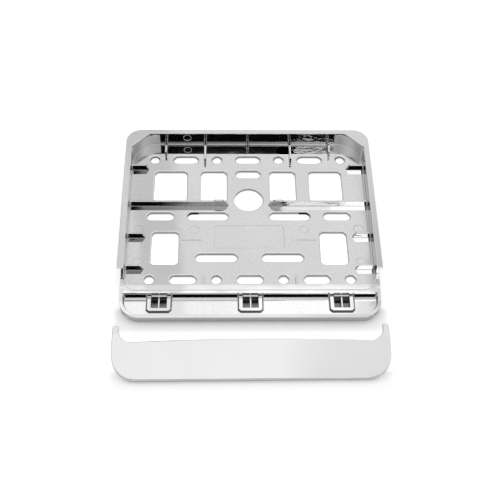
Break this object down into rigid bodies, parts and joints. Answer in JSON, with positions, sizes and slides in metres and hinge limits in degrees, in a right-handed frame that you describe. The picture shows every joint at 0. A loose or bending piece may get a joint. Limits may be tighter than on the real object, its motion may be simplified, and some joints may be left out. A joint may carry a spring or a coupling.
{
  "type": "number plate holder",
  "caption": "Chromed plastic tray for a motorcycle number plate, with a lipped wall, mounting holes and slots, and a clip-on retaining strip lying taken off in front.",
  "frame": {"origin": "centre of the large round hole, on the back plane of the base", "axes": "+X to the right as read on the plate, +Y to the top of the plate, +Z away from the vehicle, out of the tray"},
  "size_m": [0.2238, 0.2604, 0.0181],
  "materials": {
    "plated_base": "bright chrome plating over moulded plastic, slightly satin floor",
    "plated_strip": "bright chrome plating over moulded plastic"
  },
  "bodies": {
    "root": {"holder_base": "plated_base", "retaining_strip": "plated_strip"}
  },
  "joints": []
}
